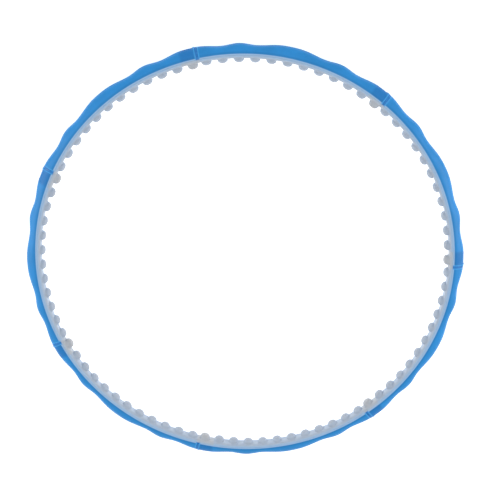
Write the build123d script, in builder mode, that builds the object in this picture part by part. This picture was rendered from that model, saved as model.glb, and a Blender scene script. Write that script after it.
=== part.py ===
"""Sectional massage hoop: seven equal sections that plug into one another in a ring.

Each section is a blue wavy-backed shell that opens towards the middle of the ring, a soft
massage band with a row of nubs that closes the shell's open side, a joint plug fixed in the
section's far end, a collar round the plug's root, and a lock tongue that turns in the plug
and stands in a slot of the next section's socket.

Millimetres. The hoop lies flat: its axis is +Z and its centre is the origin. A section runs
counter-clockwise, seen from above, from the seam at its socket to the seam at its plug.
"""
import os
from math import cos, degrees, pi, radians, sin, sqrt

from build123d import *

# ---- the whole hoop -------------------------------------------------------------------
section_count = 7
outer_diameter = 980.0      # over the crests of the wavy back
tube_width = 29.5           # along the hoop's axis
back_depth = 25.4           # from the shell's rim out to a crest
face_depth = 8.0            # from the shell's rim in to the band's face

# ---- the wave along the back, angles from the middle of its wide crest ------------------
wave_centre = 27.0          # the wide crest, degrees after the socket's seam
inner_dip_angle = 8.8       # the dip beside the wide crest
outer_dip_angle = 17.7      # the dip beside the joint
dip_depth = 6.0             # a crest's height over a dip
bump_height = 4.0           # the narrow bump's height over the dips on either side
crest_flatness = 1.35       # over 1 makes the wide crests flatter
back_stations = 25          # outlines that the back is lofted through

# ---- shell ----------------------------------------------------------------------------
shell_wall = 2.2
socket_wall = 3.8           # back wall at the mouth of the socket
seam_gap = 0.2              # between one section and the next
lip_rise = 1.1              # the mouth's lip over the back
lip_side_rise = 0.55        # and over the tube's sides
lip_length = 3.4
lip_base = 8.0              # from the rim out to where the lip begins
cavity_foot = 3.0           # how far a joint's cavity runs past the rim, so that it is open
joint_step = 1.5            # the hollow narrows by this towards a joint
joint_overlap = 2.0         # how far the wide hollow reaches into a joint's cavity

# ---- massage band ---------------------------------------------------------------------
band_thickness = 4.4
rim_gap = 0.05              # between the band's edges and the shell's rim
nubs_per_section = 12
nub_height = 9.7
nub_width = 21.2
first_nub_inset = 11.0      # from the socket's seam to the first nub's middle
last_nub_inset = 18.9       # from the last nub's middle to the plug's seam
swell_rises = (2.6, 1.7, 0.8)   # extra height of the first nubs, over the socket
rib_thickness = 1.6
rib_depth = 4.0             # outward past the shell's rim
rib_root = 1.5              # inward, sunk in the band
rib_gap = 0.3               # between a rib's outer edge and the shell's wall at a dip
rib_setback = 4.25          # between the end of the wide hollow and the end of a rib

# ---- joint plug, collar and socket ------------------------------------------------------
plug_clearance = 0.3        # between the plug and the socket
plug_wall = 2.4             # at the plug's back and its floor
plug_side_wall = 3.6
spigot_length = 32.0        # into the next section
socket_spare = 3.0          # the socket's depth past the plug's tip
root_length = 26.0          # back into the plug's own section
web_thickness = 2.5
tip_chamfer = 1.2
collar_length = 5.2
collar_rise = 0.4           # over the shell's end
collar_chamfer = 0.6

# ---- lock tongue ------------------------------------------------------------------------
slot_start = 5.0            # from the seam
slot_setback = 5.5          # between the slot's far end and the plug's tip
slot_width = 8.0
slot_corner = 1.0
slot_overcut = 2.0          # how far the slot's cut runs on past the wall
window_lead = 0.2           # the plug's window begins this much before the slot
tongue_gap = 0.5            # between the tongue's sides and the slot
tongue_setback = 1.4        # between the slot's end and the tongue's hook
hook_rise = 3.5             # the hook's top over the plug's back
hook_thickness = 6.5
hook_length = 4.0
hook_ramp = 2.0             # along which the hook thins to the leaf
leaf_rise = 1.9             # the leaf's top over the plug's back, beside the hook
leaf_thickness = 2.4
heel_wall = 0.6             # of the tongue round its pivot
heel_slope = 0.4            # how far the tongue's back end leans forward
heel_drop = 1.6             # the tongue's back end below the plug's back
tongue_chamfer = 1.0
pivot_drop = 6.0            # the pivot's axis below the plug's back
pivot_inset = 3.6           # the pivot's axis behind the plug's tip
pivot_radius = 1.4
pivot_clearance = 0.06
pivot_reach = 2.2           # of the pivot into each cheek
cheek_thickness = 2.8
cheek_margin = 2.2          # of the cheek round the pivot's hole

# ---- worked out from the values above -------------------------------------------------
section_angle = 360 / section_count
half_width = tube_width / 2
crest_radius = outer_diameter / 2
rim_radius = crest_radius - back_depth
face_radius = rim_radius - face_depth
inner_half_width = half_width - shell_wall

socket_depth = back_depth - socket_wall
socket_half_width = inner_half_width
plug_depth = socket_depth - plug_clearance
plug_half_width = socket_half_width - plug_clearance
plug_back = rim_radius + plug_depth
socket_reach = spigot_length + socket_spare

slot_length = spigot_length - slot_setback - slot_start
hook_end = slot_start + tongue_setback
pivot_y = spigot_length - pivot_inset
pivot_x = plug_back - pivot_drop
tongue_half_width = slot_width / 2 - tongue_gap
window_half_width = slot_width / 2
heel = pivot_radius + heel_wall


def back_depth_at(angle):
    """The back's depth over the rim at an angle after the socket's seam."""
    from_crest = abs((angle - wave_centre + section_angle / 2) % section_angle - section_angle / 2)
    dip_level = back_depth - dip_depth
    if inner_dip_angle <= from_crest <= outer_dip_angle:
        along = (from_crest - inner_dip_angle) / (outer_dip_angle - inner_dip_angle)
        return dip_level + bump_height * sin(pi * along) ** 2
    if from_crest < inner_dip_angle:
        along = from_crest / inner_dip_angle
    else:
        along = (section_angle / 2 - from_crest) / (section_angle / 2 - outer_dip_angle)
    return dip_level + dip_depth * (1 + cos(pi * along ** crest_flatness)) / 2


def seam_plane(y=0.0, angle=0.0):
    """A plane across the tube: square to the tangent at an angle, and y along that tangent."""
    outward = Vector(cos(radians(angle)), sin(radians(angle)), 0)
    along = Vector(-sin(radians(angle)), cos(radians(angle)), 0)
    return Plane(origin=along * y, x_dir=outward, z_dir=along)


def channel(depth, hollow_depth, hollow_half):
    """An outline across the shell: half an ellipse outside, a smaller one inside, flat rims."""
    with BuildSketch() as outline:
        with BuildLine():
            outer = EllipticalCenterArc((rim_radius, 0), depth, half_width, start_angle=-90, arc_size=180)
            inner = EllipticalCenterArc((rim_radius, 0), hollow_depth, hollow_half,
                                        start_angle=-90, arc_size=180)
            Line(outer @ 1, inner @ 1)
            Line(inner @ 0, outer @ 0)
        make_face()
    return outline.sketch


def half_egg(base, depth, half, foot=0.0):
    """An outline across the tube: half an ellipse that stands on a flat base at radius base."""
    with BuildSketch() as outline:
        with BuildLine():
            back = EllipticalCenterArc((base, 0), depth, half, start_angle=-90, arc_size=180)
            if foot:
                Polyline(back @ 1, (base - foot, half), (base - foot, -half), back @ 0)
            else:
                Line(back @ 1, back @ 0)
        make_face()
    return outline.sketch


def stations(first, last, count):
    """Angles that divide the stretch from first to last evenly, with both ends."""
    return [first + (last - first) * i / (count - 1) for i in range(count)]


# ---- shell ----------------------------------------------------------------------------
hollow_start = degrees((socket_reach - joint_overlap) / rim_radius)
hollow_end = section_angle - degrees((root_length - joint_overlap) / rim_radius)
joint_hollow_depth = socket_depth - joint_step
joint_hollow_half = socket_half_width - joint_step
back_angles = stations(0, section_angle, back_stations)
wide_angles = [angle for angle in back_angles if hollow_start <= angle <= hollow_end]
slot_plane = Plane(origin=(crest_radius + lip_rise, slot_start + slot_length / 2, 0),
                   x_dir=(0, 1, 0), z_dir=(1, 0, 0))

with BuildPart() as shell:
    for angle in back_angles:
        is_wide = angle in wide_angles
        inner_depth = back_depth_at(angle) - shell_wall if is_wide else joint_hollow_depth
        inner_half = inner_half_width if is_wide else joint_hollow_half
        with BuildSketch(seam_plane(angle=angle)):
            add(channel(back_depth_at(angle), inner_depth, inner_half))
    loft()
    with BuildSketch(seam_plane(seam_gap)):
        add(half_egg(rim_radius, back_depth_at(0) + lip_rise, half_width + lip_side_rise))
        with Locations((rim_radius + lip_base / 2, 0)):
            Rectangle(lip_base, 2 * tube_width, mode=Mode.SUBTRACT)
    extrude(amount=lip_length)
    split(bisect_by=seam_plane(seam_gap), keep=Keep.TOP)
    split(bisect_by=seam_plane(-collar_length, section_angle), keep=Keep.BOTTOM)
    with BuildSketch(seam_plane()):
        add(half_egg(rim_radius, socket_depth, socket_half_width, cavity_foot))
    extrude(amount=socket_reach, mode=Mode.SUBTRACT)
    with BuildSketch(seam_plane(-root_length, section_angle)):
        add(half_egg(rim_radius, plug_depth, plug_half_width, cavity_foot))
    extrude(amount=root_length, mode=Mode.SUBTRACT)
    with BuildSketch(slot_plane):
        RectangleRounded(slot_length, slot_width, slot_corner)
    extrude(amount=-(socket_wall + lip_rise + slot_overcut), mode=Mode.SUBTRACT)

# ---- massage band -----------------------------------------------------------------------
band_plane = Plane(origin=(0, 0, 0), x_dir=(1, 0, 0), z_dir=(0, -1, 0))
rib_start = wide_angles[0] + degrees(rib_setback / rim_radius)
rib_end = wide_angles[-1] - degrees(rib_setback / rim_radius)
dip_hollow_depth = back_depth - dip_depth - shell_wall
half_width_at_rib = inner_half_width * sqrt(1 - (rib_depth / dip_hollow_depth) ** 2)
rib_middle = half_width_at_rib - rib_gap - rib_thickness / 2
nub_radius = nub_width / 2
edge_radius = rim_radius - rim_gap
face_corner = face_depth - rim_gap
flat_half = half_width - face_corner
nub_first = degrees(first_nub_inset / face_radius)
nub_last = section_angle - degrees(last_nub_inset / face_radius)

with BuildPart() as band:
    with BuildSketch(band_plane) as band_profile:
        with BuildLine():
            upper = CenterArc((edge_radius, flat_half), face_corner, 90, 90)
            lower = CenterArc((edge_radius, -flat_half), face_corner, 180, 90)
            Line(upper @ 1, lower @ 0)
            Line(lower @ 1, (edge_radius, -inner_half_width))
            rear = ThreePointArc((edge_radius, -inner_half_width), (face_radius + band_thickness, 0),
                                 (edge_radius, inner_half_width))
            Line(rear @ 1, upper @ 0)
        make_face()
    revolve(axis=Axis.Z, revolution_arc=section_angle)
    for number, angle in enumerate(stations(nub_first, nub_last, nubs_per_section)):
        rise = swell_rises[number] if number < len(swell_rises) else 0.0
        tip_radius = face_radius - nub_height - rise
        with BuildSketch(seam_plane(angle=angle)) as nub_profile:
            with BuildLine():
                dome_centre = (tip_radius + nub_radius, 0)
                dome = CenterArc(dome_centre, nub_radius, 180, 90)
                back_edge = (face_radius + band_thickness / 2, -nub_radius)
                Polyline(dome @ 1, back_edge, (back_edge[0], 0), dome @ 0)
            make_face()
        revolve(axis=Axis((0, 0, 0), (cos(radians(angle)), sin(radians(angle)), 0)))
    split(bisect_by=seam_plane(seam_gap), keep=Keep.TOP)
    split(bisect_by=seam_plane(0, section_angle), keep=Keep.BOTTOM)
    with BuildSketch(band_plane.rotated((0, 0, rib_start))) as rib_profile:
        with Locations((rim_radius + (rib_depth - rib_root) / 2, rib_middle),
                       (rim_radius + (rib_depth - rib_root) / 2, -rib_middle)):
            Rectangle(rib_depth + rib_root, rib_thickness)
    revolve(axis=Axis.Z, revolution_arc=rib_end - rib_start)

# ---- joint plug: its spigot points along +Y out of the seam at angle 0 --------------------
profile_plane = Plane(origin=(0, 0, 0), x_dir=(0, 1, 0), z_dir=(0, 0, -1))
core_depth = plug_depth - 2 * plug_wall
core_half = plug_half_width - plug_side_wall
cheek_start = pivot_y - pivot_radius - cheek_margin
cheek_low = pivot_x - pivot_radius - cheek_margin
cheek_height = plug_back - cheek_low
cheek_middle = window_half_width + cheek_thickness / 2
window_start = slot_start - window_lead
window_length = spigot_length - window_start

with BuildPart() as plug:
    with BuildSketch(seam_plane(-root_length)):
        add(half_egg(rim_radius, plug_depth, plug_half_width))
    extrude(amount=root_length + spigot_length)
    chamfer(plug.faces().sort_by(Axis.Y)[-1].edges(), tip_chamfer)
    with BuildSketch(seam_plane(-root_length)):
        add(half_egg(rim_radius + plug_wall, core_depth, core_half))
    extrude(amount=root_length - web_thickness, mode=Mode.SUBTRACT)
    with BuildSketch(seam_plane(0)):
        add(half_egg(rim_radius + plug_wall, core_depth, core_half))
    extrude(amount=cheek_start, mode=Mode.SUBTRACT)
    with BuildSketch(seam_plane(cheek_start)):
        add(half_egg(rim_radius + plug_wall, core_depth, core_half))
        with Locations((cheek_low + cheek_height / 2, cheek_middle),
                       (cheek_low + cheek_height / 2, -cheek_middle)):
            Rectangle(cheek_height, cheek_thickness, mode=Mode.SUBTRACT)
    extrude(amount=spigot_length - cheek_start, mode=Mode.SUBTRACT)
    with BuildSketch(Plane(origin=(plug_back, window_start, 0), x_dir=(0, 1, 0), z_dir=(1, 0, 0))):
        with Locations((window_length / 2, 0)):
            Rectangle(window_length, 2 * window_half_width)
    extrude(amount=-cheek_height, mode=Mode.SUBTRACT)
    with BuildSketch(profile_plane):
        with Locations((pivot_y, pivot_x)):
            Circle(pivot_radius + pivot_clearance)
    extrude(amount=window_half_width + pivot_reach + pivot_clearance, both=True, mode=Mode.SUBTRACT)

# ---- end collar: round the plug's root, between its own shell's end and the seam ----------
with BuildPart() as collar:
    with BuildSketch(seam_plane(-collar_length)):
        add(half_egg(rim_radius, back_depth_at(0) + collar_rise, half_width))
    extrude(amount=collar_length)
    outer_edges = collar.edges().filter_by(GeomType.ELLIPSE)
    chamfer(outer_edges, collar_chamfer)
    with BuildSketch(seam_plane(-collar_length)):
        add(half_egg(rim_radius, plug_depth, plug_half_width, cavity_foot))
    extrude(amount=collar_length, mode=Mode.SUBTRACT)

# ---- lock tongue: turns about its pivot and stands in the next section's slot -------------
with BuildPart() as tongue:
    with BuildSketch(profile_plane):
        with BuildLine():
            Polyline((pivot_y + heel, pivot_x),
                     (pivot_y + heel - heel_slope, plug_back - heel_drop),
                     (hook_end, plug_back + hook_rise),
                     (hook_end, plug_back + hook_rise - hook_thickness),
                     (hook_end + hook_length, plug_back + hook_rise - hook_thickness),
                     (hook_end + hook_length + hook_ramp, plug_back + leaf_rise - leaf_thickness),
                     (pivot_y - heel, pivot_x + heel),
                     (pivot_y - heel, pivot_x),
                     close=True)
        make_face()
        with Locations((pivot_y, pivot_x)):
            Circle(heel)
    extrude(amount=tongue_half_width, both=True)
    leaf_top = tongue.faces().sort_by(Axis.X)[-1]
    chamfer(leaf_top.edges().sort_by(SortBy.LENGTH)[-2:], tongue_chamfer)
    with BuildSketch(profile_plane):
        with Locations((pivot_y, pivot_x)):
            Circle(pivot_radius)
    extrude(amount=window_half_width + pivot_reach, both=True)

# ---- the seven sections ------------------------------------------------------------------
os.makedirs("parts", exist_ok=True)
for number in range(1, section_count + 1):
    at_socket = Rot(Z=section_angle * (number - 1))
    at_plug = Rot(Z=section_angle * number)
    pieces = {"shell": at_socket * shell.part,
              "massage_band": at_socket * band.part,
              "joint_plug": at_plug * plug.part,
              "end_collar": at_plug * collar.part,
              "lock_tongue": at_plug * tongue.part}
    for name, piece in pieces.items():
        piece.label = f"{name}_{number}"
        export_step(piece, f"parts/{piece.label}.step")
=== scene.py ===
# %% [markdown]
# # A massage hoop that plugs together
#
# The hoop is a ring of seven equal sections. Each has a stiff, glossy blue shell with a wavy
# back, a milky soft band with a row of round nubs on the inside, and at one end a plug that
# goes into the next section's socket. The CAD model already holds every piece at its true
# size and place. This lesson builds the pieces that people see and touch as finer meshes, gives
# every piece a finish, and sets up the light, the floor and the camera.
#
# Lengths are in metres and angles in degrees. The hoop lies flat, with its axis along +Z.

from math import asin, cos, degrees, hypot, pi, radians, sin, sqrt

import bpy
from mathutils import Matrix, Vector


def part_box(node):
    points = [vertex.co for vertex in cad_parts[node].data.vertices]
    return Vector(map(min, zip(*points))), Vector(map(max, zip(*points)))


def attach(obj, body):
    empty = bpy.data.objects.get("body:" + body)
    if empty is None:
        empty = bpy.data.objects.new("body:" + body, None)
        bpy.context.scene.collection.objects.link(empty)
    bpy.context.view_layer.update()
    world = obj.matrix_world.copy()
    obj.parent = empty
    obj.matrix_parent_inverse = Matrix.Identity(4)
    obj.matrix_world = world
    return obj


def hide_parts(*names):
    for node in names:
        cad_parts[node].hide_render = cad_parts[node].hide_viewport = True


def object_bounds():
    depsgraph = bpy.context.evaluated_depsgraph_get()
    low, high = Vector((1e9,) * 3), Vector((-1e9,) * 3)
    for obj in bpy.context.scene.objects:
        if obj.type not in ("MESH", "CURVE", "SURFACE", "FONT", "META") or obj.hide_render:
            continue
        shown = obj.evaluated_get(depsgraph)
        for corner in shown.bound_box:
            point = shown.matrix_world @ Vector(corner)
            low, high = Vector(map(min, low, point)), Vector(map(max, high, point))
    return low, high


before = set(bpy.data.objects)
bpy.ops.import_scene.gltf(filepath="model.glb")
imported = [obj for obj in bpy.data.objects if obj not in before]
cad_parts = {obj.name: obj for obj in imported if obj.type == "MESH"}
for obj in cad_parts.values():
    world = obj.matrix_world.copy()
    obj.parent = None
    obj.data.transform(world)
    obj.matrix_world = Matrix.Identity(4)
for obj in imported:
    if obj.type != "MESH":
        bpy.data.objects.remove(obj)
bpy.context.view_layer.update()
section_count = sum(name.startswith("shell_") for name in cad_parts)
section_angle = 360 / section_count
sections = range(1, section_count + 1)
print(section_count, "sections of", round(section_angle, 2), "degrees")

# %% [markdown]
# ## Sizes
#
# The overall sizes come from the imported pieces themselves. The rim is the flat edge of the
# shell's open side, and everything across the tube is measured out from it or in from it.
# Typing the radii in would be shorter, but measuring a node's vertices keeps this script right
# if the model is packed at another size.


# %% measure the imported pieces
def reach(node):
    """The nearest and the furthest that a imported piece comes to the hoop's axis."""
    away = [hypot(v.co.x, v.co.y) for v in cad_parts[node].data.vertices]
    return min(away), max(away)


lip_rise = 0.0011           # the lip at a socket's mouth, over the back
swell = 0.0026              # extra height of a band's first nub
half_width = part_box("end_collar_1")[1][2]
rim_radius = reach("shell_1")[0]
crest_depth = reach("shell_1")[1] - lip_rise - rim_radius
tip_radius = reach("massage_band_1")[0] + swell
print("rim", round(rim_radius, 4), "crest depth", round(crest_depth, 4),
      "tips", round(tip_radius, 4))

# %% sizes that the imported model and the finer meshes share
face_depth = 0.0080         # from the rim in to the middle of the band's face
face_radius = rim_radius - face_depth
shell_wall = 0.0022
inner_half = half_width - shell_wall
seam_gap = 0.0002
hairline = 0.00005          # what shows of the gap between collar and lip
socket_depth = 0.0216       # the socket's inside, from the rim to its back
plug_clearance = 0.0003
plug_reach = 0.032          # a plug's length past the seam
socket_reach = 0.035        # the socket's depth, from the seam
root_length = 0.026         # of a plug, back into its own section
collar_length = 0.0052
slot_start = 0.0050         # from the seam
slot_length = 0.0215
slot_width = 0.0080
print("the band's face is", round(face_radius, 4), "from the hoop's axis")

# %% [markdown]
# ## The wave along the back
#
# The back rises and falls: a wide crest over each joint and another half way along a section,
# and between them a dip, a narrow bump and a dip again. It could be pulled up by hand with
# proportional editing, or pushed out by a Displace modifier. A formula gives the back's depth
# at any angle instead, so the shell and the collar follow the same line on all seven sections.

# %% the back's depth over the rim
wave_centre = 27.0          # the middle of the wide crest, in degrees after the socket's seam
inner_dip_angle = 8.8       # from there to the dip beside the wide crest
outer_dip_angle = 17.7      # and to the dip beside the joint
dip_depth = 0.0060          # a crest's height over a dip
bump_height = 0.0040        # the narrow bump's height over the dips on either side
crest_flatness = 1.35       # over 1 makes the wide crests flatter


def back_depth_at(angle):
    """The back's depth over the rim at an angle after a section's socket seam."""
    half_turn = section_angle / 2
    from_crest = abs((angle - wave_centre + half_turn) % section_angle - half_turn)
    dip_level = crest_depth - dip_depth
    if inner_dip_angle <= from_crest <= outer_dip_angle:
        along = (from_crest - inner_dip_angle) / (outer_dip_angle - inner_dip_angle)
        return dip_level + bump_height * sin(pi * along) ** 2
    if from_crest < inner_dip_angle:
        along = from_crest / inner_dip_angle
    else:
        along = (half_turn - from_crest) / (half_turn - outer_dip_angle)
    return dip_level + dip_depth * (1 + cos(pi * along ** crest_flatness)) / 2


def smooth_step(low, high, value):
    """0 below low, 1 above high and an even S between them."""
    share = min(max((value - low) / (high - low), 0.0), 1.0)
    return share * share * (3 - 2 * share)


dip_angle = wave_centre - inner_dip_angle
print("depth at the joint", round(back_depth_at(0), 4),
      "in the dip", round(back_depth_at(dip_angle), 4))

# %% [markdown]
# ## Sweeping an outline round the ring
#
# A moulded tube that bends round a ring is one closed outline, carried from angle to angle
# and joined up, with a lid at each end. A Screw modifier would do that for a plain tube, but
# here the outline changes on the way, so each ring of points is worked out by its own formula,
# and `skin` only joins the rings. The seven sections are equal: each piece is made once, and
# `place` puts a turned copy on every section's body.


# %% a closed skin through rings of points
hard_edge = 40              # degrees: two faces that meet more sharply keep their edge


def skin(name, rings, sharp_angle=hard_edge):
    """A closed mesh through rings with equally many points, with a lid on both ends."""
    count = len(rings[0])
    points = [point for ring in rings for point in ring]
    faces = [[row * count + i, row * count + (i + 1) % count,
              (row + 1) * count + (i + 1) % count, (row + 1) * count + i]
             for row in range(len(rings) - 1) for i in range(count)]
    faces.append(list(range(count))[::-1])
    faces.append([(len(rings) - 1) * count + i for i in range(count)])
    mesh = bpy.data.meshes.new(name)
    mesh.from_pydata(points, [], faces)
    mesh.shade_smooth()
    mesh.set_sharp_from_angle(angle=radians(sharp_angle))
    return mesh


# %% points round the ring
def on_ring(radius, height, angle):
    """A point at a distance from the hoop's axis, a height and an angle."""
    return Vector((radius * cos(radians(angle)), radius * sin(radians(angle)), height))


def evenly(first, last, count):
    """Values that divide a stretch evenly, with both ends."""
    return [first + (last - first) * i / (count - 1) for i in range(count)]


print("seams at", [round(turn, 1) for turn in evenly(0, 360, section_count + 1)[:-1]], "degrees")


# %% a copy on every section
def place(name, mesh, body, node, turn):
    """Puts a turned copy of a mesh in the scene, on its body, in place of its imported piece."""
    copy = mesh.copy()
    copy.name = name
    copy.transform(Matrix.Rotation(radians(turn), 4, "Z"))
    piece = bpy.data.objects.new(name, copy)
    bpy.context.scene.collection.objects.link(piece)
    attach(piece, body)
    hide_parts(node)


# %% [markdown]
# ## The shell
#
# The shell is an open channel of even wall, moulded in one piece. Outside it is half an egg
# that follows the wave. Near the socket's mouth it has a rounded lip, and near each end its
# inside is a straight bore that fits a plug. A thin surface with a Solidify modifier would give
# the even wall but not the bores, so the outline is one closed loop: over the back, round one
# rim, along the inside and round the other rim.

# %% the shell's outline at one angle
outer_points = 36
inner_points = 14
rim_round = 0.0006


def arc_points(depth, half, count, radius_scale=1.0):
    """Half an ellipse that stands on the rim, from the lower side over the back."""
    return [((rim_radius + depth * cos(radians(turn))) * radius_scale, half * sin(radians(turn)))
            for turn in evenly(-90, 90, count)]


def channel(depth, half, bore_depth, bore_half, bore_scale=1.0):
    """A shell's closed outline as (radius, height) pairs, with its two rims rounded."""
    outer = arc_points(depth, half, outer_points)
    outer[0] = (rim_radius + rim_round, -half)
    outer[-1] = (rim_radius + rim_round, half)
    bore = arc_points(bore_depth, bore_half, inner_points, bore_scale)[::-1]
    soft = rim_round * (1 - sqrt(0.5))
    upper = [(rim_radius + soft, half - soft), (rim_radius, half - rim_round)]
    lower = [(rim_radius, rim_round - half), (rim_radius + soft, soft - half)]
    return outer + upper + bore + lower


print("shell's outline:", len(channel(crest_depth, half_width, socket_depth, inner_half)), "points")


# %% the rounded lip at the socket's mouth
lip_length = 0.0034
lip_fade = (0.6 * lip_length, 1.5 * lip_length)     # from the seam, its full height and none
lip_front = 0.0012          # the lip's rounded front edge
lip_edge_share = 0.35       # of the lip's rise, at its very edge
lip_side_share = 0.35       # of the lip's rise, at the sides of the tube


def round_off(distance, radius):
    """0 on an edge and 1 from a radius inward, along a quarter of a circle."""
    return sqrt(max(0.0, 1 - (max(0.0, radius - distance) / radius) ** 2))


def lip_at(from_seam):
    """How proud the socket's mouth stands at a distance from the seam."""
    front = lip_edge_share + (1 - lip_edge_share) * round_off(from_seam, lip_front)
    return lip_rise * front * (1 - smooth_step(*lip_fade, from_seam))


print("lip", [round(lip_at(distance), 5) for distance in evenly(0, lip_fade[1], 6)])


# %% the shell's rings, from the socket's mouth to the plug's collar
lip_rings = 9
lip_stretch = 1.6 * lip_length      # the length over which those rings lie
steady_start = 1.7 * lip_length     # from the seam to the first of the steady rings
steady_rings = 250
steady_stop = 0.1           # degrees, from the last of them to the shell's end
closest_rings = 0.06        # degrees
socket_step = 0.0001        # half the length over which the socket's bore ends
root_step = 0.01            # degrees, half the angle over which the root's bore begins


def shell_ring(angle):
    """One ring of the shell, with the straight bores of the socket and of the plug's root."""
    from_seam = radians(angle) * rim_radius
    to_end = radians(section_angle - angle) * rim_radius
    rise = lip_at(from_seam)
    depth = back_depth_at(angle) + rise
    half = half_width + rise * lip_side_share
    if from_seam < socket_reach:
        outline = channel(depth, half, socket_depth, inner_half, 1 / cos(radians(angle)))
    elif to_end < root_length:
        outline = channel(depth, half, socket_depth - plug_clearance, inner_half - plug_clearance,
                          1 / cos(radians(section_angle - angle)))
    else:
        outline = channel(depth, half, back_depth_at(angle) - shell_wall, inner_half)
    return [on_ring(radius, height, angle) for radius, height in outline]


def shell_angles():
    """Close together over the lip and at the bores' steps, and even along the rest."""
    along = [hairline + lip_stretch * number / lip_rings for number in range(lip_rings)]
    along += [socket_reach - socket_step, socket_reach + socket_step]
    marks = [degrees(distance / rim_radius) for distance in along]
    end = section_angle - degrees(collar_length / rim_radius)
    root = section_angle - degrees(root_length / rim_radius)
    marks += [root - root_step, root + root_step, end]
    steady = evenly(degrees(steady_start / rim_radius), end - steady_stop, steady_rings)
    return sorted(marks + [angle for angle in steady if
                           min(abs(angle - mark) for mark in marks) > closest_rings])


shell_mesh = skin("shell", [shell_ring(angle) for angle in shell_angles()])
print("shell:", len(shell_mesh.vertices), "points")

# %% [markdown]
# The slot for the lock tongue is a window through the back, just behind the socket's mouth.
# Its edge could be built into the rings, but they would then have to follow its round corners.
# Cutting it with a Boolean is simpler, and shows the wall's thickness as a real moulding does.


# %% cut the tongue's slot
def rounded_block(name, centre, size, corner, steps=5):
    """A block whose four edges along X are round: it cuts a slot with round corners."""
    straight_y, straight_z = size[1] / 2 - corner, size[2] / 2 - corner
    outline = []
    for quarter in range(4):
        y = centre[1] + (straight_y if quarter in (0, 3) else -straight_y)
        z = centre[2] + (straight_z if quarter in (0, 1) else -straight_z)
        for turn in evenly(90 * quarter, 90 * quarter + 90, steps):
            outline.append((y + corner * cos(radians(turn)), z + corner * sin(radians(turn))))
    ends = [centre[0] - size[0] / 2, centre[0] + size[0] / 2]
    return skin(name, [[Vector((x, y, z)) for y, z in outline] for x in ends])


def cut(mesh, cutter_mesh):
    """The mesh with the cutter's shape taken away."""
    body = bpy.data.objects.new("body", mesh)
    cutter = bpy.data.objects.new("cutter", cutter_mesh)
    for piece in (body, cutter):
        bpy.context.scene.collection.objects.link(piece)
    modifier = body.modifiers.new("cut", "BOOLEAN")
    modifier.object = cutter
    modifier.solver = "EXACT"
    graph = bpy.context.evaluated_depsgraph_get()
    result = bpy.data.meshes.new_from_object(body.evaluated_get(graph))
    for piece in (body, cutter):
        bpy.data.objects.remove(piece)
    result.set_sharp_from_angle(angle=radians(hard_edge))
    return result


slot_corner = 0.0012
cutter_height = 0.012       # half of it is inside the back, deeper than the wall
slot_middle = (rim_radius + crest_depth, slot_start + slot_length / 2, 0.0)
slot_size = (cutter_height, slot_length, slot_width)
shell_mesh = cut(shell_mesh, rounded_block("slot", slot_middle, slot_size, slot_corner))
for k in sections:
    place(f"wavy_shell_{k}", shell_mesh, f"section_{k}", f"shell_{k}", section_angle * (k - 1))
print("slot cut:", len(shell_mesh.polygons), "faces in a shell")

# %% [markdown]
# ## The end collar
#
# A short ring sits round the root of each plug, between its own shell and the seam. A torus or
# a bevelled strip would not fit the wavy back, so the collar takes the shell's own outline, a
# little larger. Its edges are rounded, so they catch a thin line of light.

# %% the collar
collar_rise = 0.00035       # over the shell's back
collar_edge = 0.0008        # the radius of its two edges
edge_places = (0.0, 0.025, 0.06, 0.11, 0.16, 0.4)   # as shares of its length, from either edge


def collar_ring(to_seam):
    """One ring of the collar, at a distance before the seam."""
    from_edge = min(to_seam, collar_length - to_seam)
    angle = section_angle - degrees(to_seam / rim_radius)
    rise = collar_rise - collar_edge * (1 - round_off(from_edge, collar_edge))
    outline = channel(back_depth_at(angle) + rise, half_width + rise,
                      socket_depth - plug_clearance, inner_half - plug_clearance)
    return [Vector((radius, -to_seam, height)) for radius, height in outline]


collar_places = [1 - share for share in edge_places] + list(edge_places[::-1])
collar_mesh = skin("collar", [collar_ring(collar_length * share) for share in collar_places])
for k in sections:
    place(f"seam_collar_{k}", collar_mesh, f"section_{k}", f"end_collar_{k}", section_angle * k)
print("collar:", len(collar_mesh.polygons), "faces")

# %% [markdown]
# ## The massage band
#
# The band is one soft moulding: a strip with well rounded sides and a row of round nubs.
# Spheres joined on with a Boolean would leave a hard line round each foot. A nub's side is
# nearly upright, and points that are only pushed up would crowd at its top and be stretched
# down its side. So each point near a nub also moves along the strip: distance from the nub's
# middle is read as distance travelled over the nub's outline, which keeps the mesh even from
# tip to foot.

# %% the strip's sides and the places of its nubs
flat_half = half_width - face_depth         # half of the face's flat middle
half_across = flat_half + face_depth * pi / 2
nubs_per_section = 12
first_nub_inset = 0.0110    # from the socket's seam to the first nub's middle
last_nub_inset = 0.0189     # from the last nub's middle to the plug's seam
first_nub = degrees(first_nub_inset / face_radius)
last_nub = section_angle - degrees(last_nub_inset / face_radius)
nub_angles = evenly(first_nub, last_nub, nubs_per_section)
nub_pitch = nub_angles[1] - nub_angles[0]
print("flat", round(2 * flat_half, 4), "wide; nubs", round(nub_pitch, 2), "degrees apart")

# %% a nub's sizes
nub_height = face_radius - tip_radius
top_radius = 0.0160         # over a nub's tip
top_slope = 22              # degrees, where the tip's bend gives way to the shoulder's
shoulder_radius = 0.0082
wall_slope = 86             # degrees
nub_foot = 0.0010           # radius of the fillet round a nub's foot
nub_reach = 0.0150          # from a nub's middle to where the strip is untouched
nub_rises = {0: swell, 1: 0.0017, 2: 0.0008}    # extra height of the nubs over the socket
swell_widening = 0.30       # a taller nub's shoulder is wider by this share of its extra height
print("nubs", round(nub_height, 4), "tall, the first one", round(nub_height + swell, 4))


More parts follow.
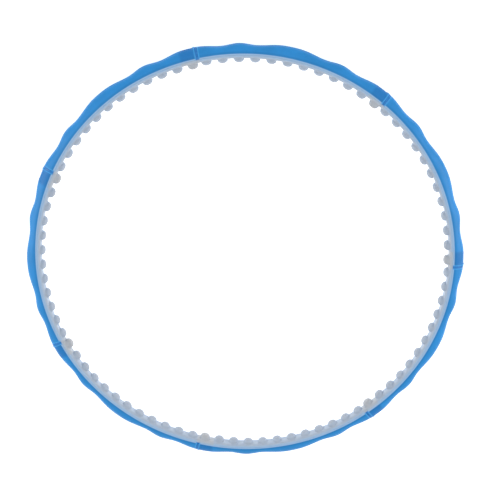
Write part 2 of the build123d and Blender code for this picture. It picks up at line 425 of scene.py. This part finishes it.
# %% a nub's outline
def bend(length, first, last):
    """How far a curve of even bend goes forward and down, from one slope to another."""
    if first == last:
        return length * cos(radians(first)), length * sin(radians(first))
    radius = length / radians(last - first)
    return (radius * (sin(radians(last)) - sin(radians(first))),
            radius * (cos(radians(first)) - cos(radians(last))))


def nub_outline(share, rise):
    """Distance from a nub's middle, height and share of the foot, part of the way to its reach.

    From the tip the outline bends slowly, then sharply over the shoulder, runs down a short
    wall, bends back at the foot and goes on along the strip. Each stretch is a length with
    its slope in degrees at both ends.
    """
    shoulder = shoulder_radius + swell_widening * rise
    down = top_radius * (1 - cos(radians(top_slope)))
    down += shoulder * (cos(radians(top_slope)) - cos(radians(wall_slope)))
    down += nub_foot * (1 - cos(radians(wall_slope)))
    wall = (nub_height + rise - down) / sin(radians(wall_slope))
    stretches = [(top_radius * radians(top_slope), 0, top_slope),
                 (shoulder * radians(wall_slope - top_slope), top_slope, wall_slope),
                 (wall, wall_slope, wall_slope), (nub_foot * radians(wall_slope), wall_slope, 0)]
    across = sum(bend(*stretch)[0] for stretch in stretches)
    travelled = share * (sum(length for length, _, _ in stretches) + nub_reach - across)
    out, height = 0.0, nub_height + rise
    for length, first, last in stretches:
        part = min(1.0, travelled / length)
        forward, down = bend(length * part, first, first + (last - first) * part)
        out, height, travelled = out + forward, height - down, travelled - length
        if travelled <= 0:
            return out, height, part if last == 0 else 0.0
    return out + travelled, 0.0, 1.0


print("nub, out and up in mm:", [tuple(round(1000 * part, 1) for part in nub_outline(share, 0)[:2])
                                 for share in evenly(0, 1, 6)])


# %% a point on the band's face
def strip_point(across):
    """How far the strip lies behind its flat middle, and its height, at a distance across it."""
    round_part = max(0.0, abs(across) - flat_half) / face_depth
    height = min(abs(across), flat_half) + face_depth * sin(round_part)
    return face_depth * (1 - cos(round_part)), height if across > 0 else -height


def face_point(angle, across, at_seam):
    """A point on the face: the strip, raised into a dome near a nub."""
    number = min(range(nubs_per_section), key=lambda i: abs(nub_angles[i] - angle))
    along = radians(angle - nub_angles[number]) * face_radius
    distance = hypot(along, across)
    lift = foot = 0.0
    if distance < nub_reach:
        moved, lift, foot = nub_outline(distance / nub_reach, nub_rises.get(number, 0.0))
        scale = moved / distance if distance else 1.0
        along *= scale
        across *= scale
    behind, height = strip_point(across)
    if distance < nub_reach:
        lift += behind * (1 - smooth_step(0, 1, foot))
    if not at_seam:
        angle = nub_angles[number] + degrees(along / face_radius)
    return on_ring(face_radius + behind - lift, height, angle)


print("first nub's tip", tuple(round(part, 4) for part in face_point(first_nub, 0.0, False)))

# %% the band's rings
face_points = 52
rear_points = 10
band_rings = 420
band_hard_edge = 60         # degrees, so that a nub's foot stays soft
band_thickness = 0.0044     # at its middle
edge_round = 0.0005
edge_gap = 0.0001           # from the band's edges to the shell's rim
end_gap = 0.0001            # from the band's far end to the seam


def band_ring(angle, at_seam):
    """One closed ring of the band: its face, its two soft edges and its hollow back."""
    face = [face_point(angle, across, at_seam)
            for across in evenly(-half_across, half_across, face_points)[1:-1]]
    bow_depth = face_depth - band_thickness
    rear_bow = (inner_half ** 2 + bow_depth ** 2) / (2 * bow_depth)
    rear_angle = degrees(asin(inner_half / rear_bow))
    rear_middle = face_radius + band_thickness + rear_bow
    rear = [(rear_middle - rear_bow * cos(radians(turn)), rear_bow * sin(radians(turn)))
            for turn in evenly(rear_angle, -rear_angle, rear_points)]
    edge = rim_radius - edge_gap
    upper = [(edge - 2 * edge_round, half_width - 0.2 * edge_round),
             (edge, half_width - edge_round)]
    lower = [(radius, -height) for radius, height in upper[::-1]]
    back = [on_ring(radius, height, angle) for radius, height in upper + rear + lower]
    return face + back


band_start = degrees(seam_gap / face_radius)
band_end = section_angle - degrees(end_gap / face_radius)
band_mesh = skin("band", [band_ring(angle, angle in (band_start, band_end))
                          for angle in evenly(band_start, band_end, band_rings)], band_hard_edge)
for k in sections:
    turn = section_angle * (k - 1)
    place(f"nubbed_band_{k}", band_mesh, f"section_{k}", f"massage_band_{k}", turn)
print("band:", len(band_mesh.polygons), "faces")

# %% [markdown]
# ## Finishes as sums
#
# A finish changes over a surface by formulas: where on the ring a point is, how far from the
# rim, how rough the moulding is there. Such nodes can be wired by hand in the shader editor,
# but a formula soon takes a dozen Math nodes. `Value` wraps one shader socket, so that a
# formula in Python adds the Math nodes by itself, and `Finish` makes any other node from its
# type, its settings and what goes into its sockets.


# %% a socket that Python can do sums with
class Value:
    """The output of a shader node. Sums on it add Math nodes."""

    def __init__(self, finish, socket):
        self.finish = finish
        self.socket = socket

    def math(self, operation, *others, first=None):
        """Any Math node on this value, which comes second where another is given as first."""
        terms = [self, *others] if first is None else [first, self]
        return self.finish.node("Math", {"operation": operation}, dict(enumerate(terms)))

    def __add__(self, other):
        return self.math("ADD", other)

    def __sub__(self, other):
        return self.math("SUBTRACT", other)

    def __rsub__(self, other):
        return self.math("SUBTRACT", first=other)

    def __mul__(self, other):
        return self.math("MULTIPLY", other)

    __radd__ = __add__
    __rmul__ = __mul__

    def size(self):
        """The value without its sign."""
        return self.math("ABSOLUTE")

    def wrap(self, length):
        """What is left over the last whole length."""
        return self.math("FLOORED_MODULO", length)

    def step(self, low, high):
        """0 below low, 1 above high and smooth between."""
        settings = {"interpolation_type": "SMOOTHSTEP"}
        return self.finish.node("MapRange", settings, {0: self, 1: low, 2: high})


# %% a material with a method that adds any node
class Finish:
    """A material under construction."""

    def __init__(self, name, **constants):
        self.material = bpy.data.materials.new(name)
        self.material.use_nodes = True
        self.tree = self.material.node_tree
        self.shader = self.tree.nodes["Principled BSDF"]
        for socket, value in constants.items():
            self.shader.inputs[socket.replace("_", " ")].default_value = value
        self.place = self.node("TexCoord", {}, {}, output="Object")

    def node(self, kind, settings, inputs, output=0):
        """Adds a node: settings first, then the values and links of its sockets."""
        made = self.tree.nodes.new("ShaderNode" + kind)
        for setting, value in settings.items():
            setattr(made, setting, value)
        for socket, value in inputs.items():
            if isinstance(value, Value):
                self.tree.links.new(value.socket, made.inputs[socket])
            else:
                made.inputs[socket].default_value = value
        return Value(self, made.outputs[output])

    def mix(self, share, low, high):
        """A colour that goes from low to high as share goes from 0 to 1."""
        first, second = ((*c, 1) if isinstance(c, tuple) else c for c in (low, high))
        return self.node("Mix", {"data_type": "RGBA"}, {0: share, 6: first, 7: second}, output=2)

    def noise(self, scale, detail=3.0, roughness=0.5):
        """Soft random spots from 0 to 1, scale of them to a metre."""
        inputs = {"Vector": self.place, "Scale": scale, "Detail": detail, "Roughness": roughness}
        return self.node("TexNoise", {}, inputs, output="Fac")

    def bump(self, height, distance, strength):
        """Small relief that is a distance high, in metres, where the height is 1."""
        return self.node("Bump", {}, {"Height": height, "Distance": distance, "Strength": strength})

    def feed(self, **links):
        """Links values to the shader's sockets, and gives the finished material."""
        for socket, value in links.items():
            self.tree.links.new(value.socket, self.shader.inputs[socket.replace("_", " ")])
        return self.material


# %% where on the ring a point is
def ring_place(finish):
    """Distance from the axis, height, and degrees after the last seam, as shader values."""
    x, y, z = (finish.node("SeparateXYZ", {}, {0: finish.place}, output=axis) for axis in "XYZ")
    radius = (x * x + y * y).math("POWER", 0.5)
    turn = y.math("ARCTAN2", x) * degrees(1) + 360
    return radius, z, turn.wrap(section_angle)


# %% [markdown]
# ## Blue shell
#
# The shell is tinted plastic that lets some light through. A glass-like shader would show the
# plain inside of the model, so this finish is opaque and paints what the light brings out.
# Where a plug fills the socket less light comes through, and the first few degrees of each
# section are a deeper blue. The ridge of the back and the wall beside the rim are darker with
# painted shade, a paler strip runs along the rim, and a painted highlight makes a thin light
# line on either side of a joint.

# %% the blue plastic
blue = (0.026, 0.296, 0.735)
deep_blue = (0.020, 0.238, 0.650)
# painted shade: the darker blue on the back's ridge and on the wall beside the rim
shade_blue = (0.012, 0.180, 0.480)
# painted highlight: the pale blue of the thin light lines beside a joint
highlight_blue = (0.075, 0.440, 0.930)
# a paler blue for a strip along the rim
rim_strip_blue = (0.450, 0.670, 0.920)
plug_end = degrees(plug_reach / rim_radius)
shell_end = section_angle - degrees(collar_length / rim_radius)
highlight_line = (0.24, 0.42)           # degrees from a shell's end, full and gone
pale_rim_strip = (0.0014, 0.0040)    # from the rim, full and gone
side_shade_span = (0.0050, 0.0095)        # from the rim, full and gone
ridge_shade_span = (0.0010, 0.0075)       # from the middle plane, full and gone


def lighter(colour, share):
    """A colour with each of its parts larger by a share."""
    return tuple(part * (1 + share) for part in colour)


def blue_plastic():
    """The shell's tinted plastic."""
    finish = Finish("tinted_blue_plastic", IOR=1.49, Specular_IOR_Level=0.35)
    radius, height, phase = ring_place(finish)
    from_rim = radius - rim_radius
    plugged = 1 - phase.step(plug_end - 0.5, plug_end + 0.6)
    joint_highlight = 1 - phase.step(*highlight_line) * (shell_end - phase).step(*highlight_line)
    side_shade = 1 - from_rim.step(*side_shade_span)
    flow = finish.noise(26.0, 4.0)
    edge = 1 - from_rim.step(*pale_rim_strip)
    ridge_shade = 1 - height.size().step(*ridge_shade_span)
    tone = finish.mix(flow.step(0.3, 0.75), blue, lighter(blue, 0.12))
    tone = finish.mix(plugged, tone, deep_blue)
    # painted shade: the ridge of the back and the wall beside the rim darker
    tone = finish.mix(ridge_shade * 0.8, tone, shade_blue)
    tone = finish.mix(side_shade * 0.4, tone, shade_blue)
    # a paler strip along the rim
    tone = finish.mix(edge * 0.92, tone, rim_strip_blue)
    # painted highlight: a thin light line at the socket's mouth and at the shell's end
    tone = finish.mix(joint_highlight * 0.8, tone, highlight_blue)
    rough = 0.30 + finish.noise(140.0, 3.0) * 0.14
    relief = finish.bump(finish.noise(420.0, 2.0), 0.00012, 0.25)
    return finish.feed(Base_Color=tone, Roughness=rough, Normal=relief)


# %% [markdown]
# ## Milky band
#
# The band is soft and milky, almost clear at its thin edges, where painted blue stands for the
# shell's blue light that comes through them. The beige plug shows through over the joint, and
# is painted on too. A nub's tip is a darker grey and a ring round its side is a little darker,
# both painted shade, and the sides of its crown are paler with a painted highlight. Some
# Subsurface softens the shade as milky rubber does, and the rest is painted. The skin is matt
# and a little uneven.

# %% the milky elastomer
milk = (0.465, 0.55, 0.67)
# a paler milk: for random clouds, and for the painted highlight on the sides of a nub's crown
cloud_and_highlight_milk = (0.57, 0.66, 0.80)
# painted light: the shell's blue that comes through the band's thin edges
shell_blue_light = (0.42, 0.62, 0.88)
# painted shade: the darker grey on a nub's tip and round its side
shaded_milk = (0.40, 0.435, 0.50)
# painted: the beige plug that shows through the band over the joint
beige_tint = (0.62, 0.58, 0.52)
plug_fade = 0.5                     # degrees in which the plug's beige goes past its end
before_seam = (0.6, 1.1)            # degrees before the seam, the beige full and gone
blue_light_edge = (0.0015, 0.0058)      # inward from the rim, the blue full and gone
flank_shade_ring = (0.0065, 0.0096, 0.0106, 0.0125)   # from a nub's middle: begins, full, full, gone
crown_round = (0.0080, 0.0115)      # from a nub's middle, full and gone
crown_sides = (0.0030, 0.0080)      # from the middle plane, where the crown begins and is full
tip_shade_span = (0.0005, 0.0050)        # out from the tips' radius, full and gone


def nub_distance(height, phase):
    """How far a point is from the middle of the nearest nub, along the band's face."""
    along = (phase + (nub_pitch / 2 - first_nub)).wrap(nub_pitch) - nub_pitch / 2
    along = along * (radians(1) * face_radius)
    return (along * along + height * height).math("POWER", 0.5)


def milky_elastomer():
    """The massage band's soft rubber."""
    finish = Finish("milky_elastomer", IOR=1.45, Subsurface_Weight=0.25, Subsurface_Scale=0.006,
                    Subsurface_Radius=(0.7, 0.85, 1.0), Coat_Weight=0.1, Coat_Roughness=0.3)
    radius, height, phase = ring_place(finish)
    to_seam = section_angle - phase
    over_plug = 1 - phase.step(plug_end, plug_end + plug_fade) * to_seam.step(*before_seam)
    cloud = finish.noise(60.0, 4.0)
    edge = 1 - (rim_radius - radius).step(*blue_light_edge)
    from_nub = nub_distance(height, phase)
    flank_shade = from_nub.step(*flank_shade_ring[:2]) * (1 - from_nub.step(*flank_shade_ring[2:]))
    crown_highlight = (1 - from_nub.step(*crown_round)) * height.size().step(*crown_sides)
    tip_shade = 1 - (radius - tip_radius).step(*tip_shade_span)
    tone = finish.mix(cloud.step(0.35, 0.8) * 0.3, milk, cloud_and_highlight_milk)
    # painted highlight: the sides of a nub's crown paler
    tone = finish.mix(crown_highlight, tone, cloud_and_highlight_milk)
    # painted shade: a ring round a nub's side and its tip darker
    tone = finish.mix(flank_shade * 0.2, tone, shaded_milk)
    tone = finish.mix(tip_shade * 0.7, tone, shaded_milk)
    # painted light: the shell's blue along the band's thin edges
    tone = finish.mix(edge * 0.9, tone, shell_blue_light)
    # painted: the beige plug showing through the band over the joint
    tone = finish.mix(over_plug * 0.35, tone, beige_tint)
    rough = 0.42 + cloud * 0.16
    relief = finish.bump(finish.noise(900.0, 2.0), 0.00008, 0.3)
    return finish.feed(Base_Color=tone, Roughness=rough, Normal=relief)


# %% [markdown]
# ## Collar, plug and tongue
#
# The collar is the shell's plastic with nothing to let light through. The plug is plain
# moulded plastic in its natural beige, with faint marks of the mould and scuffs where it
# slides in the socket. The tongue is a darker blue, so that a finger finds it. The three are
# one formula with other values, so they share one function. The plugs and tongues keep their
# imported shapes: they only get a finish in their material slots.

# %% the smaller pieces' finishes
collar_blue = (0.022, 0.215, 0.610)
natural_beige = (0.60, 0.52, 0.38)
tongue_blue = (0.012, 0.080, 0.290)


def solid_plastic(name, colour, roughness, wear):
    """Moulded plastic: a slight change of tone, fine grain and paler worn spots."""
    finish = Finish(name, IOR=1.49)
    cloud = finish.noise(90.0, 4.0)
    worn = finish.noise(320.0, 5.0, 0.7).step(0.62, 0.75) * wear
    tone = finish.mix(cloud.step(0.3, 0.7), colour, lighter(colour, 0.18))
    tone = finish.mix(worn, tone, tuple(0.5 + 0.5 * part for part in colour))
    rough = roughness + cloud * 0.12 + worn * 0.3
    relief = finish.bump(finish.noise(1200.0, 2.0), 0.00006, 0.3)
    return finish.feed(Base_Color=tone, Roughness=rough, Normal=relief)


new_finishes = {
    "wavy_shell": blue_plastic(),
    "nubbed_band": milky_elastomer(),
    "seam_collar": solid_plastic("collar_plastic", collar_blue, 0.22, 0.05),
}
packed_finishes = {
    "joint_plug": solid_plastic("natural_plastic", natural_beige, 0.40, 0.20),
    "lock_tongue": solid_plastic("tongue_plastic", tongue_blue, 0.30, 0.15),
}
for k in sections:
    for start, material in new_finishes.items():
        bpy.data.objects[f"{start}_{k}"].data.materials.append(material)
    for start, material in packed_finishes.items():
        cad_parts[f"{start}_{k}"].material_slots[0].material = material
print(len(new_finishes), "finishes on new pieces,", len(packed_finishes), "on packed ones")

# %% [markdown]
# ## Floor and light
#
# The hoop lies on a plain white floor. One large soft light over it and a lower one on each
# side, with a white sky, give even light with hardly any shadow. The side lights are the
# stronger ones, so the wavy back is brightest at the left and the right. A white floor
# alone would render grey, so it also glows a little.

# %% floor
floor_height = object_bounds()[0].z
floor_half = 14.0
floor_mesh = bpy.data.meshes.new("floor")
floor_mesh.from_pydata([(x * floor_half, y * floor_half, floor_height) for x, y in
                        ((-1, -1), (1, -1), (1, 1), (-1, 1))], [], [(0, 1, 2, 3)])
floor = bpy.data.objects.new("floor", floor_mesh)
bpy.context.scene.collection.objects.link(floor)
floor_finish = Finish("pale_floor", Base_Color=(0.86, 0.86, 0.86, 1), Roughness=0.9,
                      Emission_Color=(1, 1, 1, 1), Emission_Strength=0.75)
floor_mesh.materials.append(floor_finish.material)
print("floor at", round(floor_height, 4), "and", 2 * floor_half, "wide")


# %% lights
def soft_light(name, location, size, power):
    """A square area light that points at the middle of the hoop."""
    lamp = bpy.data.lights.new(name, "AREA")
    lamp.size = size
    lamp.energy = power
    light = bpy.data.objects.new(name, lamp)
    light.location = location
    light.rotation_euler = Vector(location).to_track_quat("Z", "Y").to_euler()
    bpy.context.scene.collection.objects.link(light)


soft_light("overhead", (0.0, -0.4, 3.0), 2.2, 9)
soft_light("left_fill", (-2.7, 0.0, 1.6), 1.8, 23)
soft_light("right_fill", (2.7, 0.0, 1.6), 1.8, 25)
world = bpy.data.worlds.new("white_sky")
world.use_nodes = True
sky = world.node_tree.nodes["Background"]
sky.inputs["Color"].default_value = (0.97, 0.985, 1.0, 1)
sky.inputs["Strength"].default_value = 0.5
bpy.context.scene.world = world
bpy.context.scene.view_settings.view_transform = "Standard"
print(len(bpy.data.lights), "soft lights and a white sky")

# %% [markdown]
# ## Camera
#
# The camera looks down on the hoop from about 70 degrees above the floor, some two and a half
# metres away, and is rolled by a few degrees. It could be aimed with a Track To constraint,
# but that can't roll it or set the hoop off centre. So its three directions are worked out,
# and its place follows from the hoop's size: a number of nub-tip radii away, tipped from the
# axis, turned with the seams.

# %% camera
tip_from_axis = 19.83       # degrees
distance = 5.52 * tip_radius
roll = 3.8                  # degrees
pan_right, pan_up = 0.086, 0.80     # degrees
seam_turn = -3.2            # degrees
lens = 80.4                 # millimetres, on a sensor 36 wide

tilt = radians(tip_from_axis)
turn = Matrix.Rotation(radians(seam_turn), 3, "Z")
back = turn @ Vector((0, sin(tilt), cos(tilt)))
level = turn @ Vector((1, 0, 0))
above = back.cross(level)
right = cos(radians(roll)) * level + sin(radians(roll)) * above
up = cos(radians(roll)) * above - sin(radians(roll)) * level
view = (-back + radians(pan_right) * right + radians(pan_up) * up).normalized()
right = (right - view * right.dot(view)).normalized()
up = right.cross(view)

camera = bpy.data.objects.new("camera", bpy.data.cameras.new("camera"))
camera.data.lens = lens
camera.data.sensor_width = 36
basis = Matrix((right, up, -view)).transposed().to_4x4()
camera.matrix_world = Matrix.Translation(back * distance) @ basis
bpy.context.scene.collection.objects.link(camera)
bpy.context.scene.camera = camera
print("camera", tuple(round(c, 3) for c in camera.matrix_world.translation))
